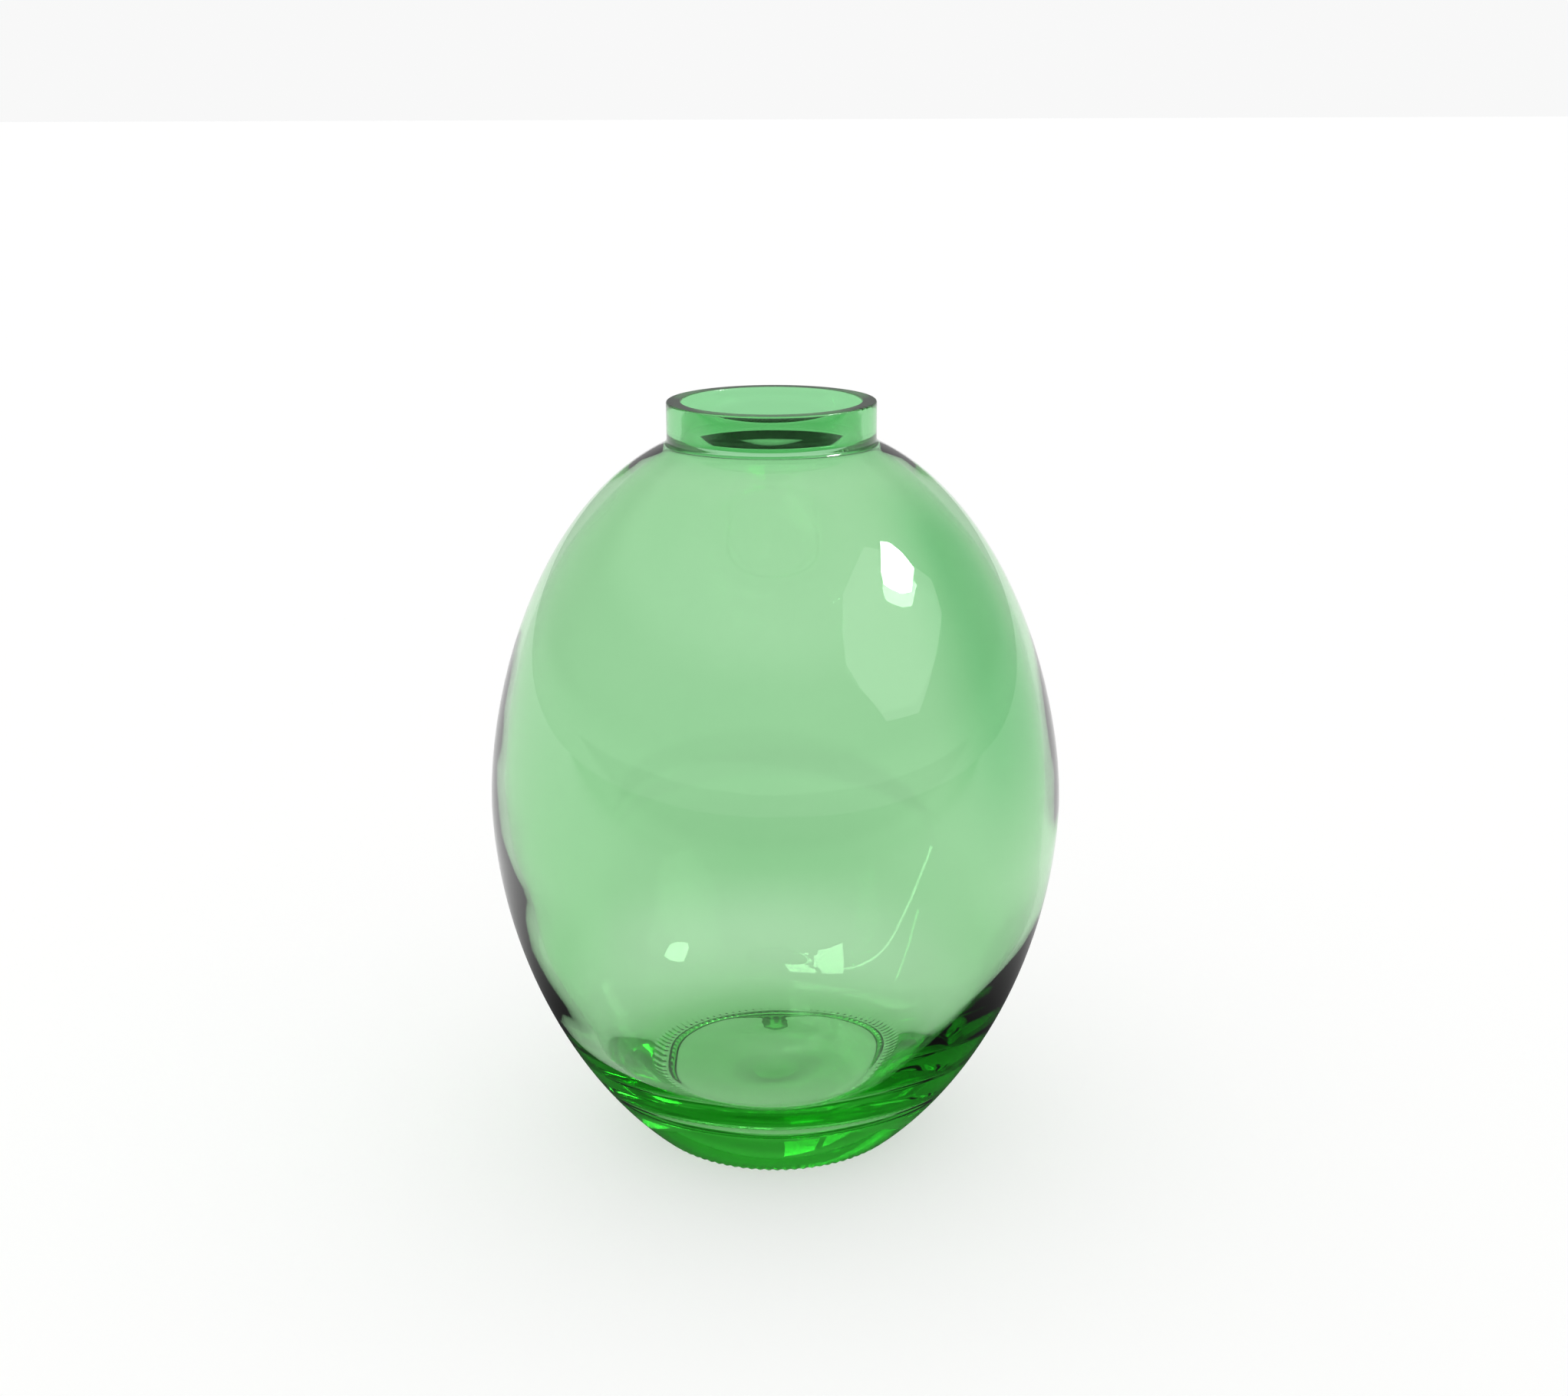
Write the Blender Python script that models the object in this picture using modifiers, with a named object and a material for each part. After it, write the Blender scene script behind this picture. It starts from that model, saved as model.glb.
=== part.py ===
"""Glass bud vase: an egg-shaped blown body with a short straight collar.

The vase is one gather of soda-lime glass, so it is one solid: body, collar and
thick base are a single wall that is turned about the Z axis.  The outside is two
superellipse halves that meet at the widest level.  The inside follows it at a wall
thickness that is thin at the shoulder and grows towards the heel, and ends in a
nearly flat floor over the heavy base, with a shallow dimple on the axis.  The
underside has a narrow ring that the vase stands on, a sloped step inside it and a
low bulge in the middle that stays clear of the table.

Metres, +Z up.  The origin is on the axis, at the level that the vase stands on.
"""
import math

import bmesh
import bpy

MM = 0.001

# ---------------------------------------------------------------- driving sizes
HEIGHT = 140.0 * MM            # standing level to the ground rim
BODY_RADIUS = 53.0 * MM        # at the widest level
WIDEST_Z = 66.6 * MM           # height of the widest level

# lower half of the egg: r = R * (1 - (dz / reach) ** p) ** (1 / q)
LOWER_REACH = 78.7 * MM
LOWER_P = 1.904
LOWER_Q = 1.71
# upper half of the egg
UPPER_REACH = 69.3 * MM
UPPER_P = 1.715
UPPER_Q = 2.396

COLLAR_RADIUS = 18.8 * MM      # outside of the straight collar
COLLAR_WALL = 2.7 * MM         # at the cut and ground rim
SHOULDER_END_Z = 131.65 * MM   # the egg ends here and the fillet starts
FILLET_RISE = 0.8 * MM         # how far the fillet climbs up the collar
RIM_BREAK = 0.15 * MM          # the ground edge is broken by this much

STAND_INNER = 23.6 * MM        # the ring that touches the table
STAND_OUTER = 24.6 * MM
HEEL_TOP_Z = 1.9 * MM          # the heel curve meets the egg here
STEP_RUN = 3.1 * MM            # the sloped step inside the ring
STEP_RISE = 1.5 * MM
CENTRE_DROP = 0.9 * MM         # the underside bulges down a little at its middle
CENTRE_RADIUS = 13.0 * MM

FLOOR_Z = 11.35 * MM           # the inside starts here on the axis
BOWL = ((10.0 * MM, 12.65 * MM), (20.0 * MM, 12.55 * MM), (27.3 * MM, 13.6 * MM))
# wall thickness, square to the outside, at heights up the body
WALL = ((28.0 * MM, 3.41 * MM), (40.0 * MM, 2.71 * MM), (55.0 * MM, 2.45 * MM),
        (75.0 * MM, 2.0 * MM), (98.0 * MM, 1.5 * MM), (116.0 * MM, 1.79 * MM),
        (122.0 * MM, 2.05 * MM), (129.0 * MM, 1.82 * MM))
THROAT_RISE = 1.35 * MM        # the inside curves up into the collar over this

TURN_STEPS = 48                # facets round the axis

GLASS_COLOUR = (0.55, 0.86, 0.58, 1.0)
GLASS_IOR = 1.52
GLASS_ROUGHNESS = 0.02


# ---------------------------------------------------------------- profile rules
def egg_radius(z):
    """Outside radius of the body at height z."""
    if z < WIDEST_Z:
        u, p, q = (WIDEST_Z - z) / LOWER_REACH, LOWER_P, LOWER_Q
    else:
        u, p, q = (z - WIDEST_Z) / UPPER_REACH, UPPER_P, UPPER_Q
    u = min(u, 0.999999)
    return BODY_RADIUS * (1.0 - u ** p) ** (1.0 / q)


def egg_slope(z):
    """dr/dz of the outside at height z."""
    d = 0.05 * MM
    return (egg_radius(z + d) - egg_radius(z - d)) / (2.0 * d)


def bend(p0, p1, p2, count):
    """Points of a quadratic curve from p0 to p2 that leaves and arrives along p1."""
    out = []
    for i in range(count + 1):
        t = i / count
        out.append(tuple((1 - t) ** 2 * a + 2 * t * (1 - t) * b + t * t * c
                         for a, b, c in zip(p0, p1, p2)))
    return out


def natural_spline(points, first_slope, samples):
    """A smooth curve through points, evenly stepped by length.

    first_slope is the direction (dr, dz) at the first point.
    """
    n = len(points)
    s = [0.0]
    for a, b in zip(points, points[1:]):
        s.append(s[-1] + math.dist(a, b))
    curves = []
    for axis in (0, 1):
        y = [p[axis] for p in points]
        h = [s[i + 1] - s[i] for i in range(n - 1)]
        a = [0.0] * n
        b = [0.0] * n
        c = [0.0] * n
        d = [0.0] * n
        b[0], c[0] = 2 * h[0], h[0]
        d[0] = 6 * ((y[1] - y[0]) / h[0] - first_slope[axis])
        for i in range(1, n - 1):
            a[i], b[i], c[i] = h[i - 1], 2 * (h[i - 1] + h[i]), h[i]
            d[i] = 6 * ((y[i + 1] - y[i]) / h[i] - (y[i] - y[i - 1]) / h[i - 1])
        b[n - 1] = 1.0
        for i in range(1, n):
            w = a[i] / b[i - 1]
            b[i] -= w * c[i - 1]
            d[i] -= w * d[i - 1]
        m = [0.0] * n
        m[n - 1] = d[n - 1] / b[n - 1]
        for i in range(n - 2, -1, -1):
            m[i] = (d[i] - c[i] * m[i + 1]) / b[i]
        curves.append((y, h, m))

    def at(u):
        i = 0
        while i < n - 2 and u > s[i + 1]:
            i += 1
        out = []
        for y, h, m in curves:
            x0, x1 = u - s[i], s[i + 1] - u
            out.append(m[i] * x1 ** 3 / (6 * h[i]) + m[i + 1] * x0 ** 3 / (6 * h[i])
                       + (y[i] / h[i] - m[i] * h[i] / 6) * x1
                       + (y[i + 1] / h[i] - m[i + 1] * h[i] / 6) * x0)
        return tuple(out)

    return [at(s[-1] * k / samples) for k in range(samples + 1)]


def outside():
    """From the rim's outer edge down to the edge of the standing ring."""
    top = (COLLAR_RADIUS, HEIGHT - RIM_BREAK)
    r_end = egg_radius(SHOULDER_END_Z)
    corner_z = SHOULDER_END_Z + (COLLAR_RADIUS - r_end) / egg_slope(SHOULDER_END_Z)
    fillet = bend((COLLAR_RADIUS, corner_z + FILLET_RISE), (COLLAR_RADIUS, corner_z),
                  (r_end, SHOULDER_END_Z), 4)
    points = [top] + fillet
    # down the egg, with finer steps at the shoulder and at the heel
    for top_z, low_z, count, finer_top in ((SHOULDER_END_Z, WIDEST_Z, 13, True),
                                           (WIDEST_Z, HEEL_TOP_Z, 13, False)):
        for i in range(1, count + 1):
            t = i / count
            t = t ** 1.45 if finer_top else 1.0 - (1.0 - t) ** 1.45
            z = top_z + (low_z - top_z) * t
            points.append((egg_radius(z), z))
    r_heel = egg_radius(HEEL_TOP_Z)
    corner_r = r_heel - egg_slope(HEEL_TOP_Z) * HEEL_TOP_Z
    points += bend((r_heel, HEEL_TOP_Z), (corner_r, 0.0), (STAND_OUTER, 0.0), 4)[1:]
    return points


def underside():
    """From the inner edge of the standing ring to the axis."""
    points = [(STAND_INNER, 0.0)]
    for i in range(1, 5):
        t = i / 4
        points.append((STAND_INNER - STEP_RUN * t,
                       STEP_RISE * (0.5 - 0.5 * math.cos(math.pi * t))))
    for r in (CENTRE_RADIUS, 0.75 * CENTRE_RADIUS, 0.5 * CENTRE_RADIUS,
              0.25 * CENTRE_RADIUS, 0.0):
        drop = CENTRE_DROP * (0.5 + 0.5 * math.cos(math.pi * r / CENTRE_RADIUS))
        points.append((r, STEP_RISE - drop))
    return points


def wall_at(z):
    """Wall thickness at height z, a smooth curve through the stated ones."""
    zs = [a for a, _ in WALL]
    ws = [b for _, b in WALL]
    i = 0
    while i < len(zs) - 2 and z > zs[i + 1]:
        i += 1

    def tangent(j):
        if j == 0 or j == len(zs) - 1:
            a, b = (0, 1) if j == 0 else (j - 1, j)
        else:
            a, b = j - 1, j + 1
        return (ws[b] - ws[a]) / (zs[b] - zs[a])

    span = zs[i + 1] - zs[i]
    t = (z - zs[i]) / span
    return ((2 * t ** 3 - 3 * t * t + 1) * ws[i]
            + (t ** 3 - 2 * t * t + t) * span * tangent(i)
            + (3 * t * t - 2 * t ** 3) * ws[i + 1]
            + (t ** 3 - t * t) * span * tangent(i + 1))


def inside():
    """From the middle of the inner floor up to the rim's inner edge."""
    guide = [(0.0, FLOOR_Z)] + list(BOWL)
    low, high, count = WALL[0][0], WALL[-1][0], 14
    for i in range(count + 1):
        z = low + (high - low) * i / count
        k = egg_slope(z)
        wall = wall_at(z) / math.hypot(1.0, k)
        guide.append((egg_radius(z) - wall, z + wall * k))
    curve = natural_spline(guide, (1.0, 0.0), 34)
    curve[0] = (0.0, FLOOR_Z)
    # the throat: from the last point of the wall up to the straight bore
    bore = COLLAR_RADIUS - COLLAR_WALL
    r_end, z_end = curve[-1]
    k = egg_slope(high)
    corner_z = z_end + (bore - r_end) / k
    curve += bend((r_end, z_end), (bore, corner_z), (bore, corner_z + THROAT_RISE), 5)[1:]
    return curve + [(bore, HEIGHT - RIM_BREAK), (bore + RIM_BREAK, HEIGHT)]


def profile():
    """The whole section, inner floor to rim to underside, at +X."""
    rim_outer = [(COLLAR_RADIUS - RIM_BREAK, HEIGHT)]
    return inside() + rim_outer + outside() + underside()


# ---------------------------------------------------------------- the model
def clear_scene():
    for ob in list(bpy.data.objects):
        bpy.data.objects.remove(ob, do_unlink=True)


def collection(name):
    col = bpy.data.collections.get(name)
    if col is None:
        col = bpy.data.collections.new(name)
        bpy.context.scene.collection.children.link(col)
    return col


def glass_material():
    mat = bpy.data.materials.new("pale_green_glass")
    mat.use_nodes = True
    shader = mat.node_tree.nodes["Principled BSDF"]
    shader.inputs["Base Color"].default_value = GLASS_COLOUR
    shader.inputs["Roughness"].default_value = GLASS_ROUGHNESS
    shader.inputs["Metallic"].default_value = 0.0
    shader.inputs["IOR"].default_value = GLASS_IOR
    shader.inputs["Transmission Weight"].default_value = 1.0
    mat.diffuse_color = GLASS_COLOUR
    return mat


def turned(name, section, material, home):
    """A solid of revolution: the section is spun about Z by a Screw modifier."""
    mesh = bpy.data.meshes.new(name)
    bm = bmesh.new()
    verts = [bm.verts.new((r, 0.0, z)) for r, z in section]
    for a, b in zip(verts, verts[1:]):
        bm.edges.new((a, b))
    bm.to_mesh(mesh)
    bm.free()
    ob = bpy.data.objects.new(name, mesh)
    home.objects.link(ob)
    mesh.materials.append(material)
    screw = ob.modifiers.new("turn", "SCREW")
    screw.axis = "Z"
    screw.angle = 2.0 * math.pi
    screw.screw_offset = 0.0
    screw.steps = TURN_STEPS
    screw.render_steps = TURN_STEPS
    screw.use_merge_vertices = True
    screw.merge_threshold = 0.00001
    screw.use_smooth_shade = True
    return ob


def main():
    clear_scene()
    home = collection("glass_bud_vase")
    turned("glass_vase", profile(), glass_material(), home)


main()
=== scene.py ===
"""Looks of the glass bud vase: one blown glass piece, turned finely around the CAD frame."""
import math

import bpy
import numpy as np
from mathutils import Matrix, Vector

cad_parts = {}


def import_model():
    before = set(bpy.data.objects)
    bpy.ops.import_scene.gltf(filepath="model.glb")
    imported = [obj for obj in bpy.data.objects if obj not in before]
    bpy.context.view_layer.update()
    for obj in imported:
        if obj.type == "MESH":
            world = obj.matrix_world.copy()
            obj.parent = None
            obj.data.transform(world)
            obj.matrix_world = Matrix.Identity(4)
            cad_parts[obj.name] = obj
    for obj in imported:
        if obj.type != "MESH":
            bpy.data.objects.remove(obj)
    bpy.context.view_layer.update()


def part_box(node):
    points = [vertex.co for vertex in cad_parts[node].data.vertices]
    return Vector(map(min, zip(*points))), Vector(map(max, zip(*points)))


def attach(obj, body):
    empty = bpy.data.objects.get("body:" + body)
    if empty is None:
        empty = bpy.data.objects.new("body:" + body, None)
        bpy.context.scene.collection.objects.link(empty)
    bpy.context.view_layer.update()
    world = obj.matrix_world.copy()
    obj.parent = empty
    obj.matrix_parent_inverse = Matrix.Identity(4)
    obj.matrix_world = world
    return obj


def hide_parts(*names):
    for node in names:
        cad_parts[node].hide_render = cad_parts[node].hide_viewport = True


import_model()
NODE = "glass_vase"
LOW, HIGH = (Vector(c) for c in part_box(NODE))
AXIS_X = 0.5 * (LOW.x + HIGH.x)
AXIS_Y = 0.5 * (LOW.y + HIGH.y)
BASE_Z = LOW.z
MM = 0.001

# ------------------------------------------------------------------ the section
# The same rules as the CAD: two superellipse halves outside, a wall that thickens
# towards the heel, a shallow bowl over a heavy base. All in millimetres.
HEIGHT = (HIGH.z - LOW.z) / MM
BODY_RADIUS = 0.5 * (HIGH.x - LOW.x) / MM
WIDEST_Z = 66.6
LOWER_REACH, LOWER_P, LOWER_Q = 78.7, 1.904, 1.71
UPPER_REACH, UPPER_P, UPPER_Q = 69.3, 1.715, 2.396
COLLAR_RADIUS, COLLAR_WALL = 18.8, 2.7
SHOULDER_END_Z, FILLET_RISE = 131.65, 0.8
STAND_INNER, STAND_OUTER, HEEL_TOP_Z = 23.6, 24.6, 1.9
STEP_RUN, STEP_RISE = 3.1, 1.5
CENTRE_DROP, CENTRE_RADIUS = 0.9, 13.0
FLOOR_Z = 11.35
BOWL = ((10.0, 12.65), (20.0, 12.55), (27.3, 13.6))
WALL = ((28.0, 3.41), (40.0, 2.71), (55.0, 2.45), (75.0, 2.0), (98.0, 1.5), (116.0, 1.79),
        (122.0, 2.05), (129.0, 1.82))
THROAT_RISE = 1.35
# how far the cavity sits off the axis, at heights up the body
OFF_CENTRE = ((10.0, 0.0), (18.0, -0.5), (24.0, -0.4), (33.0, 0.15), (44.0, 0.5), (52.0, 0.4),
              (60.0, 0.1), (68.0, 0.0), (140.0, 0.0))
RIM_ROUND = 0.32               # the ground edge is rounded by fire polishing

TURN = 480                     # points round the axis
KNURLS = 96                    # radial knurls on the standing ring


def egg_radius(z):
    z = np.asarray(z, float)
    low = z < WIDEST_Z
    u = np.where(low, (WIDEST_Z - z) / LOWER_REACH, (z - WIDEST_Z) / UPPER_REACH)
    u = np.clip(u, 0.0, 0.999999)
    p = np.where(low, LOWER_P, UPPER_P)
    q = np.where(low, LOWER_Q, UPPER_Q)
    return BODY_RADIUS * (1.0 - u ** p) ** (1.0 / q)


def egg_slope(z):
    return (egg_radius(z + 0.05) - egg_radius(z - 0.05)) / 0.1


def bend(p0, p1, p2, count):
    t = np.linspace(0.0, 1.0, count + 1)[:, None]
    p0, p1, p2 = (np.asarray(p, float) for p in (p0, p1, p2))
    return (1 - t) ** 2 * p0 + 2 * t * (1 - t) * p1 + t * t * p2


def hermite(x, knots):
    """A smooth curve through the knots (x, y)."""
    xs = np.array([k[0] for k in knots], float)
    ys = np.array([k[1] for k in knots], float)
    slope = np.empty_like(ys)
    slope[1:-1] = (ys[2:] - ys[:-2]) / (xs[2:] - xs[:-2])
    slope[0] = (ys[1] - ys[0]) / (xs[1] - xs[0])
    slope[-1] = (ys[-1] - ys[-2]) / (xs[-1] - xs[-2])
    i = np.clip(np.searchsorted(xs, x) - 1, 0, len(xs) - 2)
    span = xs[i + 1] - xs[i]
    t = np.clip((x - xs[i]) / span, 0.0, 1.0)
    return ((2 * t ** 3 - 3 * t * t + 1) * ys[i] + (t ** 3 - 2 * t * t + t) * span * slope[i]
            + (3 * t * t - 2 * t ** 3) * ys[i + 1] + (t ** 3 - t * t) * span * slope[i + 1])


def spline(points, first_slope, samples):
    """Cubic spline through the points, clamped at the start, natural at the end."""
    pts = np.asarray(points, float)
    s = np.concatenate([[0.0], np.cumsum(np.hypot(*np.diff(pts, axis=0).T))])
    n, h = len(pts), np.diff(s)
    a = np.zeros((n, n))
    b = np.zeros((n, 2))
    a[0, 0], a[0, 1] = 2 * h[0], h[0]
    b[0] = 6 * ((pts[1] - pts[0]) / h[0] - np.asarray(first_slope, float))
    for i in range(1, n - 1):
        a[i, i - 1], a[i, i], a[i, i + 1] = h[i - 1], 2 * (h[i - 1] + h[i]), h[i]
        b[i] = 6 * ((pts[i + 1] - pts[i]) / h[i] - (pts[i] - pts[i - 1]) / h[i - 1])
    a[n - 1, n - 1] = 1.0
    m = np.linalg.solve(a, b)
    u = np.linspace(0.0, s[-1], samples + 1)
    i = np.clip(np.searchsorted(s, u) - 1, 0, n - 2)
    x0, x1 = (u - s[i])[:, None], (s[i + 1] - u)[:, None]
    hh = h[i][:, None]
    return (m[i] * x1 ** 3 / (6 * hh) + m[i + 1] * x0 ** 3 / (6 * hh)
            + (pts[i] / hh - m[i] * hh / 6) * x1
            + (pts[i + 1] / hh - m[i + 1] * hh / 6) * x0)


def inside_section():
    guide = [(0.0, FLOOR_Z)] + list(BOWL)
    low, high, count = WALL[0][0], WALL[-1][0], 14
    for i in range(count + 1):
        z = low + (high - low) * i / count
        k = float(egg_slope(z))
        wall = float(hermite(z, WALL)) / math.hypot(1.0, k)
        guide.append((float(egg_radius(z)) - wall, z + wall * k))
    curve = spline(guide, (1.0, 0.0), 68)
    curve[0] = (0.0, FLOOR_Z)
    bore = COLLAR_RADIUS - COLLAR_WALL
    r_end, z_end = curve[-1]
    corner_z = z_end + (bore - r_end) / float(egg_slope(high))
    throat = bend((r_end, z_end), (bore, corner_z), (bore, corner_z + THROAT_RISE), 10)[1:]
    top = np.array([(bore, z) for z in np.linspace(throat[-1][1], HEIGHT - RIM_ROUND, 5)[1:]])
    return np.concatenate([curve, throat, top])


def rim_section():
    """The ground top with both edges rounded, from the bore to the outside."""
    bore = COLLAR_RADIUS - COLLAR_WALL
    pts = []
    for i in range(1, 5):
        t = math.pi / 2 * i / 4
        pts.append((bore + RIM_ROUND * (1 - math.cos(t)), HEIGHT - RIM_ROUND * (1 - math.sin(t))))
    pts += [(bore + RIM_ROUND + (COLLAR_WALL - 2 * RIM_ROUND) * f, HEIGHT)
            for f in (0.25, 0.5, 0.75)]
    for i in range(0, 4):
        t = math.pi / 2 * i / 4
        pts.append((COLLAR_RADIUS - RIM_ROUND * (1 - math.sin(t)),
                    HEIGHT - RIM_ROUND * (1 - math.cos(t))))
    return np.array(pts)


def outside_section():
    r_end = float(egg_radius(SHOULDER_END_Z))
    corner_z = SHOULDER_END_Z + (COLLAR_RADIUS - r_end) / float(egg_slope(SHOULDER_END_Z))
    top = np.array([(COLLAR_RADIUS, z) for z in
                    np.linspace(HEIGHT - RIM_ROUND, corner_z + FILLET_RISE, 6)])
    fillet = bend((COLLAR_RADIUS, corner_z + FILLET_RISE), (COLLAR_RADIUS, corner_z),
                  (r_end, SHOULDER_END_Z), 8)[1:]
    body = []
    for top_z, low_z, count, finer_top in ((SHOULDER_END_Z, WIDEST_Z, 23, True),
                                           (WIDEST_Z, HEEL_TOP_Z, 31, False)):
        for i in range(1, count + 1):
            t = i / count
            t = t ** 1.4 if finer_top else 1.0 - (1.0 - t) ** 1.4
            z = top_z + (low_z - top_z) * t
            body.append((float(egg_radius(z)), z))
    r_heel = float(egg_radius(HEEL_TOP_Z))
    corner_r = r_heel - float(egg_slope(HEEL_TOP_Z)) * HEEL_TOP_Z
    heel = bend((r_heel, HEEL_TOP_Z), (corner_r, 0.0), (STAND_OUTER, 0.0), 10)[1:]
    return np.concatenate([top, fillet, np.array(body), heel])


def underside_section():
    pts = [(r, 0.0) for r in np.linspace(STAND_OUTER, STAND_INNER, 5)[1:]]
    for i in range(1, 11):
        t = i / 10
        pts.append((STAND_INNER - STEP_RUN * t,
                    STEP_RISE * (0.5 - 0.5 * math.cos(math.pi * t))))
    for r in np.linspace(STAND_INNER - STEP_RUN, 0.0, 20)[1:]:
        drop = CENTRE_DROP * (0.5 + 0.5 * math.cos(math.pi * min(r / CENTRE_RADIUS, 1.0)))
        pts.append((r, STEP_RISE - drop))
    return np.array(pts)


def smoothstep(x, a, b):
    t = np.clip((x - a) / (b - a), 0.0, 1.0)
    return t * t * (3 - 2 * t)


# ------------------------------------------------------------------ the mesh
def build_vase():
    parts = [inside_section(), rim_section(), outside_section(), underside_section()]
    kind = np.concatenate([np.full(len(p), k) for k, p in enumerate(parts)])
    section = np.concatenate(parts)
    section, kind = section[1:-1], kind[1:-1]          # the two axis points come apart
    rows = len(section)
    phi = 2 * math.pi * np.arange(TURN) / TURN
    r = np.repeat(section[:, 0][:, None], TURN, 1)
    z = np.repeat(section[:, 1][:, None], TURN, 1)
    k = kind[:, None]
    cos1 = np.cos(phi)[None]
    sin1 = np.sin(phi)[None]

    # a blown wall is never even: the cavity sits a little to one side low down,
    # and the inner floor rolls gently
    inner = (k == 0)
    off = hermite(z, OFF_CENTRE)
    roll = np.zeros_like(z)
    for m, amp, ph in ((2, 0.10, 0.6), (3, 0.09, 2.1), (5, 0.06, 4.0), (7, 0.04, 1.0)):
        roll += amp * np.cos(m * phi[None] + ph)
    floor_part = smoothstep(r, 4.0, 14.0) * (1 - smoothstep(z, 15.0, 30.0))
    x = r * cos1 + np.where(inner, off, 0.0)
    y = r * sin1
    z = z + np.where(inner, roll * floor_part, 0.0)

    # knurls: shallow radial grooves across the standing ring and the start of the heel
    groove = 0.5 - 0.5 * np.cos(KNURLS * phi[None])
    band = smoothstep(r, 23.5, 23.9) * (1 - smoothstep(r, 26.0, 27.0))
    low = (k >= 2) & (section[:, 1][:, None] < 4.5)
    z = z + np.where(low, 0.24 * groove * band, 0.0)

    # tiny chips along the ground outer edge, towards the front right
    edge = (k == 1) | ((k == 2) & (section[:, 1][:, None] > HEIGHT - 0.9))
    outer_edge = edge & (section[:, 0][:, None] > COLLAR_RADIUS - 0.6)
    for deg, width, depth in ((-33.0, 0.9, 0.16), (-37.5, 0.6, 0.10), (-28.0, 0.7, 0.12),
                              (-47.0, 1.1, 0.09), (-21.0, 0.6, 0.10), (-116.0, 0.8, 0.08)):
        d = (np.degrees(phi[None]) - deg + 180.0) % 360.0 - 180.0
        hit = np.exp(-(d / width) ** 2)
        z = z - np.where(outer_edge, depth * hit, 0.0)

    # the whole piece leans by a hair above the belly
    lean = -0.42 * smoothstep(z, 60.0, 140.0)
    x = x + lean

    verts = np.stack([x, y, z], -1).reshape(-1, 3)
    centre_in = np.array([[0.0, 0.0, FLOOR_Z]])
    centre_out = np.array([[0.0, 0.0, STEP_RISE - CENTRE_DROP]])
    verts = np.concatenate([verts, centre_in, centre_out]) * MM
    verts += np.array([[AXIS_X, AXIS_Y, BASE_Z]])

    i = np.arange(rows - 1)[:, None] * TURN
    j = np.arange(TURN)[None]
    jn = (j + 1) % TURN
    quads = np.stack([i + j, i + TURN + j, i + TURN + jn, i + jn], -1).reshape(-1, 4)
    top_fan = np.stack([np.full(TURN, rows * TURN), j[0], jn[0]], -1)
    last = (rows - 1) * TURN
    low_fan = np.stack([np.full(TURN, rows * TURN + 1), last + jn[0], last + j[0]], -1)

    mesh = bpy.data.meshes.new("bud_vase_glass")
    mesh.vertices.add(len(verts))
    mesh.vertices.foreach_set("co", verts.astype(np.float32).ravel())
    loops = np.concatenate([quads.ravel(), top_fan.ravel(), low_fan.ravel()])
    sizes = np.concatenate([np.full(len(quads), 4), np.full(2 * TURN, 3)])
    starts = np.concatenate([[0], np.cumsum(sizes)[:-1]])
    mesh.loops.add(len(loops))
    mesh.loops.foreach_set("vertex_index", loops.astype(np.int32))
    mesh.polygons.add(len(sizes))
    mesh.polygons.foreach_set("loop_start", starts.astype(np.int32))
    mesh.polygons.foreach_set("loop_total", sizes.astype(np.int32))
    mesh.update(calc_edges=True)
    mesh.validate()
    mesh.shade_smooth()
    ob = bpy.data.objects.new("bud_vase_glass", mesh)
    bpy.context.scene.collection.objects.link(ob)
    return ob


# ------------------------------------------------------------------ the material
def node(tree, kind, **values):
    n = tree.nodes.new(kind)
    for key, value in values.items():
        setattr(n, key, value)
    return n


def math_node(tree, op, a, b=None, c=None, clamp=False):
    n = node(tree, "ShaderNodeMath", operation=op, use_clamp=clamp)
    for socket, value in zip(n.inputs, (a, b, c)):
        if value is None:
            continue
        if isinstance(value, (int, float)):
            socket.default_value = value
        else:
            tree.links.new(value, socket)
    return n.outputs[0]


def mirror_ray(tree):
    """1 for light that left the vase by reflection off its outside, else 0."""
    path = node(tree, "ShaderNodeLightPath").outputs
    return math_node(tree, "MULTIPLY", path["Is Glossy Ray"],
                     math_node(tree, "MULTIPLY", path["Is Reflection Ray"],
                               math_node(tree, "SUBTRACT", 1.0, path["Is Transmission Ray"])))


def ramp(tree, value, a, b):
    """0 below a, 1 above b, smooth between."""
    n = node(tree, "ShaderNodeMapRange", interpolation_type="SMOOTHSTEP")
    tree.links.new(value, n.inputs["Value"])
    n.inputs["From Min"].default_value = a
    n.inputs["From Max"].default_value = b
    return n.outputs["Result"]


def mix_colour(tree, factor, a, b):
    n = node(tree, "ShaderNodeMix", data_type="RGBA")
    if isinstance(factor, (int, float)):
        n.inputs["Factor"].default_value = factor
    else:
        tree.links.new(factor, n.inputs["Factor"])
    for socket, value in ((n.inputs[6], a), (n.inputs[7], b)):
        if isinstance(value, tuple):
            socket.default_value = value
        else:
            tree.links.new(value, socket)
    return n.outputs[2]


BODY_TINT = (0.640, 0.850, 0.655, 1.0)
DENSE_TINT = (0.530, 0.790, 0.565, 1.0)
COLLAR_TINT = (0.350, 0.735, 0.410, 1.0)
BASE_TINT = (0.980, 0.990, 0.980, 1.0)
PATCH_TINT = (0.330, 0.680, 0.400, 1.0)
# painted shade: the rim top is coloured near black-green in place of the dark room it mirrors
RIM_PAINTED_SHADE = (0.070, 0.140, 0.080, 1.0)


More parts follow.
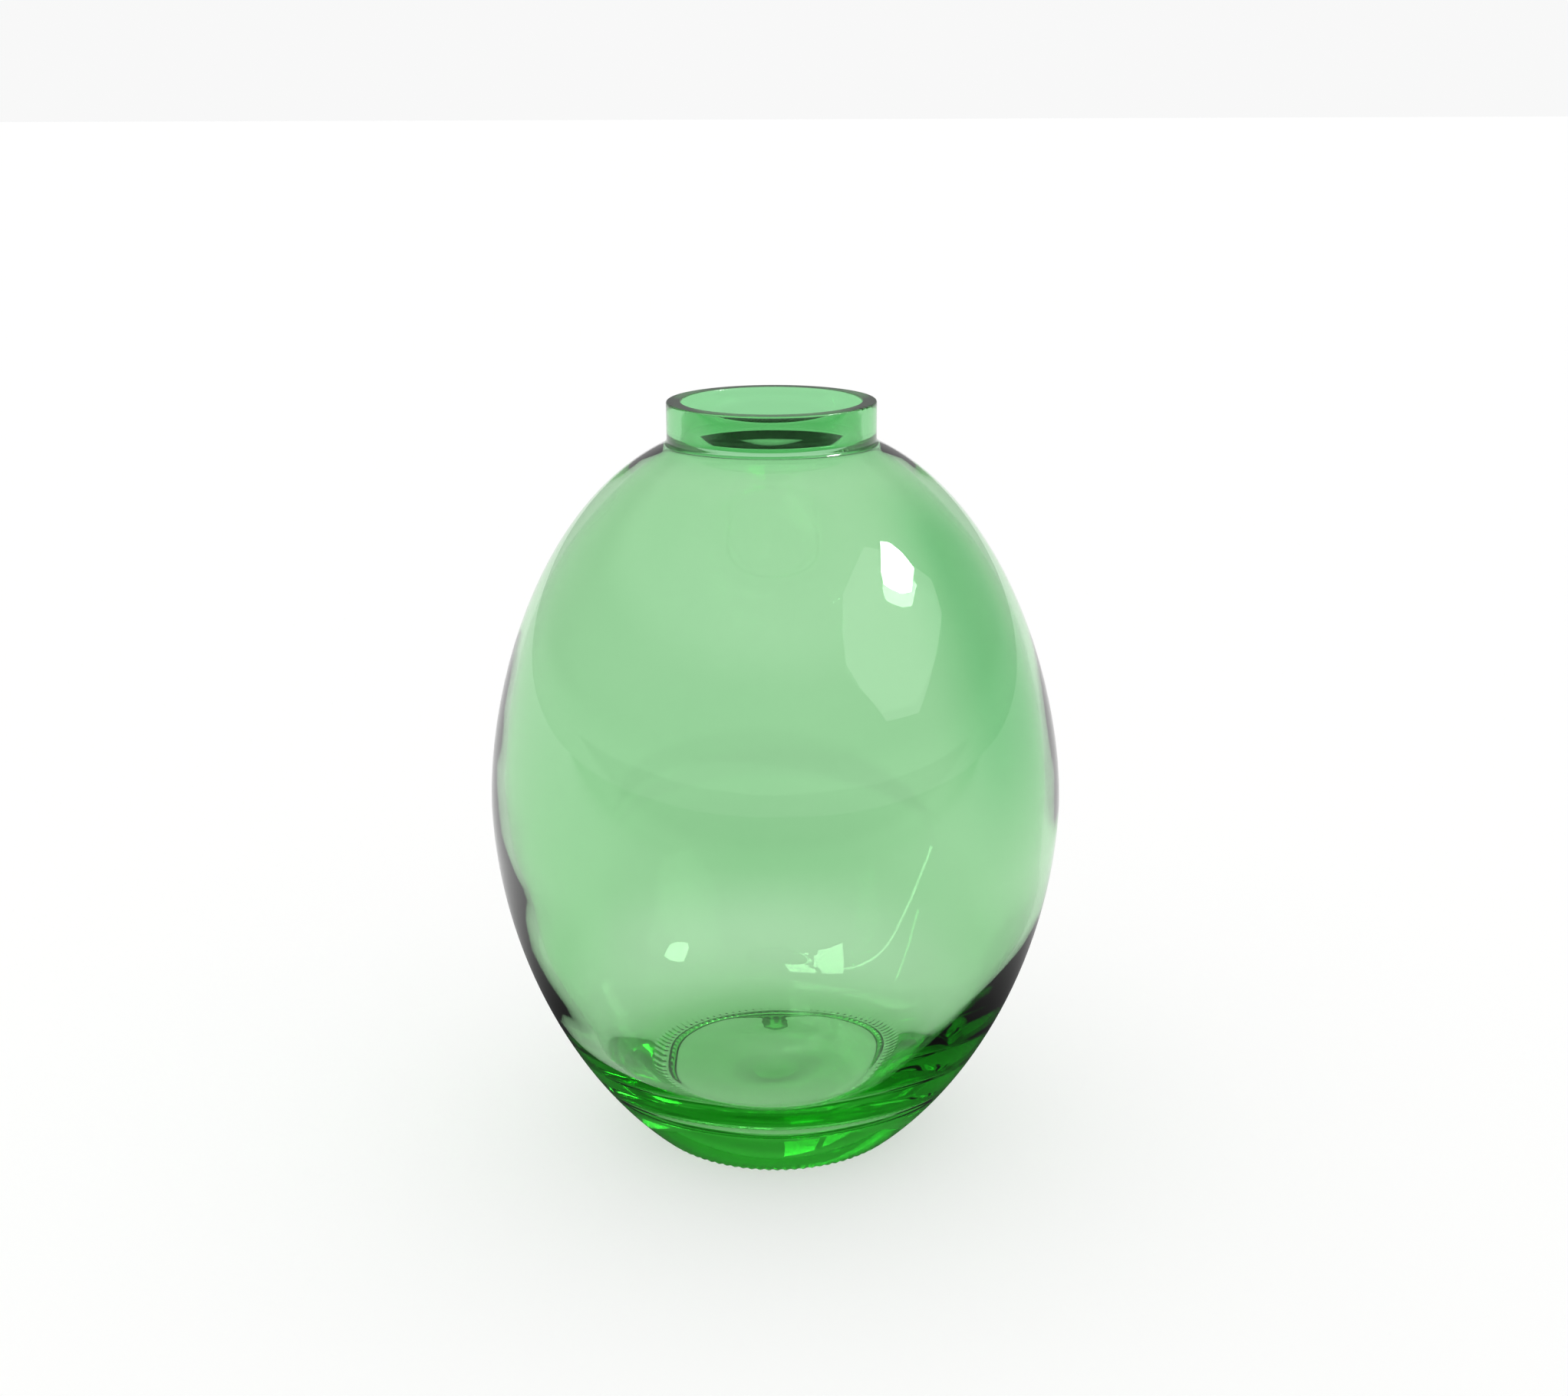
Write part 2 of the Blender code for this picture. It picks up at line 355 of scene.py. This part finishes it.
def glass_material():
    mat = bpy.data.materials.new("pale_green_glass")
    mat.use_nodes = True
    t = mat.node_tree
    shader = t.nodes["Principled BSDF"]
    out = t.nodes["Material Output"]
    shader.inputs["Metallic"].default_value = 0.0
    shader.inputs["IOR"].default_value = 1.52
    shader.inputs["Transmission Weight"].default_value = 1.0

    place = node(t, "ShaderNodeTexCoord").outputs["Object"]
    split = node(t, "ShaderNodeSeparateXYZ")
    t.links.new(place, split.inputs[0])
    px, py, pz = split.outputs

    # colour: even over the body, denser in the collar, uneven in soft clouds
    cloud = node(t, "ShaderNodeTexNoise")
    cloud.inputs["Scale"].default_value = 22.0
    cloud.inputs["Detail"].default_value = 2.0
    t.links.new(place, cloud.inputs["Vector"])
    colour = mix_colour(t, math_node(t, "MULTIPLY", ramp(t, cloud.outputs["Fac"], 0.42, 0.75), 0.22),
                        BODY_TINT, DENSE_TINT)
    # a darker green stripe up the right of the front, set by angle and height on the glass
    side = math_node(t, "ARCTAN2", math_node(t, "SUBTRACT", px, AXIS_X),
                     math_node(t, "MULTIPLY", math_node(t, "SUBTRACT", py, AXIS_Y), -1.0))
    stripe = math_node(t, "MULTIPLY", ramp(t, side, math.radians(30), math.radians(52)),
                       ramp(t, side, math.radians(80), math.radians(60)))
    stripe = math_node(t, "MULTIPLY", stripe, ramp(t, pz, BASE_Z + 0.058, BASE_Z + 0.090))
    stripe = math_node(t, "MULTIPLY", stripe, ramp(t, pz, BASE_Z + 0.131, BASE_Z + 0.118))
    colour = mix_colour(t, math_node(t, "MULTIPLY", stripe, 0.85), colour, PATCH_TINT)
    low = ramp(t, pz, BASE_Z + 0.034, BASE_Z + 0.014)
    colour = mix_colour(t, low, colour, BASE_TINT)
    collar = ramp(t, pz, BASE_Z + 0.1285, BASE_Z + 0.1350)
    colour = mix_colour(t, collar, colour, COLLAR_TINT)
    rim = ramp(t, pz, BASE_Z + (HEIGHT - 0.10) * MM, BASE_Z + (HEIGHT - 0.02) * MM)
    # painted shade on the rim top: the dark room it mirrors is painted into its colour
    colour = mix_colour(t, rim, colour, RIM_PAINTED_SHADE)
    t.links.new(colour, shader.inputs["Base Color"])

    # roughness: fire-polished body, ground rim
    rough = math_node(t, "ADD", 0.012, math_node(t, "MULTIPLY", rim, 0.30))
    t.links.new(rough, shader.inputs["Roughness"])

    # surface: faint ripple of the mould and fine drag marks on the ground rim
    ripple = node(t, "ShaderNodeTexNoise")
    ripple.inputs["Scale"].default_value = 55.0
    ripple.inputs["Detail"].default_value = 1.0
    t.links.new(place, ripple.inputs["Vector"])
    grind = node(t, "ShaderNodeTexNoise")
    grind.inputs["Scale"].default_value = 2600.0
    t.links.new(place, grind.inputs["Vector"])
    height = math_node(t, "ADD", math_node(t, "MULTIPLY", ripple.outputs["Fac"], 0.06),
                       math_node(t, "MULTIPLY", math_node(t, "MULTIPLY", grind.outputs["Fac"], rim), 0.02))
    bump = node(t, "ShaderNodeBump")
    bump.inputs["Strength"].default_value = 1.0
    bump.inputs["Distance"].default_value = 0.001
    t.links.new(height, bump.inputs["Height"])
    t.links.new(bump.outputs["Normal"], shader.inputs["Normal"])

    # the glass itself absorbs red and blue over its thickness
    body = node(t, "ShaderNodeVolumeAbsorption")
    body.inputs["Color"].default_value = (0.29, 0.80, 0.29, 1.0)
    body.inputs["Density"].default_value = 75.0
    t.links.new(body.outputs["Volume"], out.inputs["Volume"])
    return mat


vase = build_vase()
vase.data.materials.append(glass_material())
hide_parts(NODE)
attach(vase, "root")


# ------------------------------------------------------------------ the stage
def floor():
    mesh = bpy.data.meshes.new("floor")
    s = 9.0
    mesh.from_pydata([(-s, -s, 0), (s, -s, 0), (s, s, 0), (-s, s, 0)], [], [(0, 1, 2, 3)])
    ob = bpy.data.objects.new("floor", mesh)
    ob.location.z = BASE_Z - 0.00005
    bpy.context.scene.collection.objects.link(ob)
    mat = bpy.data.materials.new("pale_table")
    mat.use_nodes = True
    t = mat.node_tree
    shader = t.nodes["Principled BSDF"]
    shader.inputs["Base Color"].default_value = (0.42, 0.42, 0.418, 1.0)
    shader.inputs["Roughness"].default_value = 0.9
    shader.inputs["Specular IOR Level"].default_value = 0.0
    shader.inputs["Emission Color"].default_value = (1.0, 1.0, 0.995, 1.0)
    shader.inputs["Emission Strength"].default_value = 0.55
    # what the vase mirrors of the table: dim in its own shadow and towards the dark
    # side of the room, bright further off
    place = node(t, "ShaderNodeNewGeometry").outputs["Position"]
    split = node(t, "ShaderNodeSeparateXYZ")
    t.links.new(place, split.inputs[0])
    flat = node(t, "ShaderNodeCombineXYZ")
    t.links.new(split.outputs["X"], flat.inputs["X"])
    t.links.new(split.outputs["Y"], flat.inputs["Y"])
    reach = node(t, "ShaderNodeVectorMath", operation="LENGTH")
    t.links.new(flat.outputs[0], reach.inputs[0])
    mirrored = math_node(t, "MULTIPLY", ramp(t, reach.outputs["Value"], 0.055, 0.165),
                         ramp(t, split.outputs["Y"], -0.45, -0.05))
    dim = node(t, "ShaderNodeEmission")
    t.links.new(math_node(t, "ADD", math_node(t, "MULTIPLY", mirrored, 0.85), 0.04),
                dim.inputs["Strength"])
    mix = node(t, "ShaderNodeMixShader")
    t.links.new(mirror_ray(t), mix.inputs[0])
    t.links.new(shader.outputs[0], mix.inputs[1])
    t.links.new(dim.outputs[0], mix.inputs[2])
    # past the table's front edge the room is dark to light turned back inside the glass
    bounced = math_node(t, "GREATER_THAN",
                        node(t, "ShaderNodeLightPath").outputs["Glossy Depth"], 0.5)
    unlit = math_node(t, "MULTIPLY", bounced, ramp(t, split.outputs["Y"], -0.28, -0.48))
    black = node(t, "ShaderNodeEmission")
    black.inputs["Strength"].default_value = 0.03
    last = node(t, "ShaderNodeMixShader")
    t.links.new(unlit, last.inputs[0])
    t.links.new(mix.outputs[0], last.inputs[1])
    t.links.new(black.outputs[0], last.inputs[2])
    t.links.new(last.outputs[0], t.nodes["Material Output"].inputs["Surface"])
    mesh.materials.append(mat)
    return ob


def world():
    w = bpy.data.worlds.new("soft_room")
    bpy.context.scene.world = w
    w.use_nodes = True
    t = w.node_tree
    back = t.nodes["Background"]
    coord = node(t, "ShaderNodeTexCoord").outputs["Generated"]
    split = node(t, "ShaderNodeSeparateXYZ")
    t.links.new(coord, split.inputs[0])
    stops = node(t, "ShaderNodeValToRGB")
    height = math_node(t, "ADD", math_node(t, "MULTIPLY", split.outputs["Z"], 0.5), 0.5)
    t.links.new(height, stops.inputs["Fac"])
    e = stops.color_ramp
    e.interpolation = "EASE"

    def at(elevation, value):
        pos = 0.5 + 0.5 * math.sin(math.radians(elevation))
        stop = e.elements.new(pos)
        stop.color = (value, value, value, 1.0)

    e.elements[0].color = (0.5, 0.5, 0.5, 1.0)
    e.elements[1].color = (0.70, 0.70, 0.70, 1.0)
    at(-1.0, 0.5)
    at(1.8, 0.49)
    at(8.0, 0.24)
    at(25.0, 0.24)
    at(42.0, 0.60)
    # the sweep behind the vase stays pale up to eye height
    # and all round it for light that comes straight, through the glass or past it
    path = node(t, "ShaderNodeLightPath").outputs
    straight = math_node(t, "MULTIPLY", math_node(t, "LESS_THAN", path["Glossy Depth"], 0.5),
                         math_node(t, "SUBTRACT", 1.0, path["Is Diffuse Ray"]))
    behind = math_node(t, "MULTIPLY",
                       math_node(t, "MAXIMUM", straight, ramp(t, split.outputs["Y"], 0.35, 0.80)),
                       ramp(t, split.outputs["Z"], 0.62, 0.40))
    pale = mix_colour(t, behind, stops.outputs["Color"], (0.47, 0.47, 0.47, 1.0))
    t.links.new(pale, back.inputs["Color"])
    # reflections see the same room with its lights turned down
    t.links.new(math_node(t, "SUBTRACT", 2.0, math_node(t, "MULTIPLY", mirror_ray(t), 1.1)),
                back.inputs["Strength"])


def card(name, corners, strength, distance=1.3, within=False):
    """A plain glowing card round the vase that only its reflections show.

    corners are (azimuth, elevation) in degrees, azimuth from +Y towards +X.
    """
    centre = Vector((AXIS_X, AXIS_Y, BASE_Z + 0.1))
    verts = []
    for az, el in corners:
        a, e = math.radians(az), math.radians(el)
        d = Vector((math.sin(a) * math.cos(e), math.cos(a) * math.cos(e), math.sin(e)))
        verts.append(centre + d * distance)
    mesh = bpy.data.meshes.new(name)
    if len(corners) % 2:
        mesh.from_pydata(verts, [], [tuple(range(len(verts)))])
    else:                                   # a strip: one side up, the other side down
        n = len(verts)
        mesh.from_pydata(verts, [], [(i, i + 1, n - 2 - i, n - 1 - i)
                                     for i in range(n // 2 - 1)])
    ob = bpy.data.objects.new(name, mesh)
    bpy.context.scene.collection.objects.link(ob)
    mat = bpy.data.materials.new(name)
    mat.use_nodes = True
    t = mat.node_tree
    t.nodes.clear()
    glow = node(t, "ShaderNodeEmission")
    glow.inputs["Strength"].default_value = strength
    out = node(t, "ShaderNodeOutputMaterial")
    t.links.new(glow.outputs[0], out.inputs["Surface"])
    if within:                              # shows only inside the glass, not on its face
        path = node(t, "ShaderNodeLightPath").outputs
        shows = math_node(t, "MULTIPLY",
                          math_node(t, "GREATER_THAN", path["Transmission Depth"], 3.5),
                          math_node(t, "GREATER_THAN", path["Glossy Depth"], 0.5))
        clear = node(t, "ShaderNodeBsdfTransparent")
        mix = node(t, "ShaderNodeMixShader")
        t.links.new(shows, mix.inputs[0])
        t.links.new(clear.outputs[0], mix.inputs[1])
        t.links.new(glow.outputs[0], mix.inputs[2])
        t.links.new(mix.outputs[0], out.inputs["Surface"])
    mesh.materials.append(mat)
    ob.visible_diffuse = False
    ob.visible_shadow = False
    ob.visible_camera = False
    return ob


floor()
world()
# a bright window on the right, its pale wall, and a tall gap in a curtain on the left
card("window_card", ((91, 49), (87, 46), (86, 41), (87, 36), (91, 35.5), (98, 34), (104, 36),
                     (108, 39), (110, 41), (107, 44), (99, 47)), 30.0)
card("wall_card", ((103, 53), (137, 46), (144, 37), (146, 29), (142, 23), (133, 14.5),
                   (118, 13), (88, 24), (82, 30)), 1.5, 1.5)
card("gap_card", ((-96, 5), (-96, 15), (-96, 25), (-96, 35), (-95, 45), (-94, 55), (-92, 65),
                  (-88, 75), (-98, 75), (-97, 65), (-97.5, 55), (-97.5, 45), (-97.5, 35),
                  (-97.5, 25), (-97.5, 15), (-97.5, 5)), 9.0, within=True)
# two panes high up at the back of the room
card("left_pane_card", ((-171, 71), (-142.8, 62.4), (-65.1, 77.2), (-18, 83)), 14.0, within=True)
card("right_pane_card", ((-138.4, 59.7), (-125, 46), (-82, 65), (-69.9, 75.2)), 14.0, within=True)


# ------------------------------------------------------------------ the camera
def camera():
    cam = bpy.data.cameras.new("camera")
    cam.sensor_fit = "HORIZONTAL"
    cam.sensor_width = 36.0
    cam.lens = 2687.19 * 36.0 / 2044.0
    cam.clip_start = 0.01
    cam.clip_end = 50.0
    ob = bpy.data.objects.new("camera", cam)
    bpy.context.scene.collection.objects.link(ob)
    tilt = 0.2946
    yaw = math.atan(12.0 / 2687.19)
    ob.matrix_world = (Matrix.Translation((AXIS_X, AXIS_Y - 0.3666, BASE_Z + 0.19577))
                       @ Matrix.Rotation(-yaw, 4, "Z")
                       @ Matrix.Rotation(math.pi / 2 - tilt, 4, "X")
                       @ Matrix.Rotation(math.radians(-0.2), 4, "Z"))
    bpy.context.scene.camera = ob


camera()
# light that is caught in the thick glass needs many steps to find its way out
paths = bpy.context.scene.cycles
paths.max_bounces = 13
paths.transmission_bounces = 13
paths.glossy_bounces = 12
paths.volume_bounces = 2

view = bpy.context.scene.view_settings
view.view_transform = "Standard"
view.look = "None"
view.exposure = 0.0
view.gamma = 1.0

bpy.context.view_layer.update()
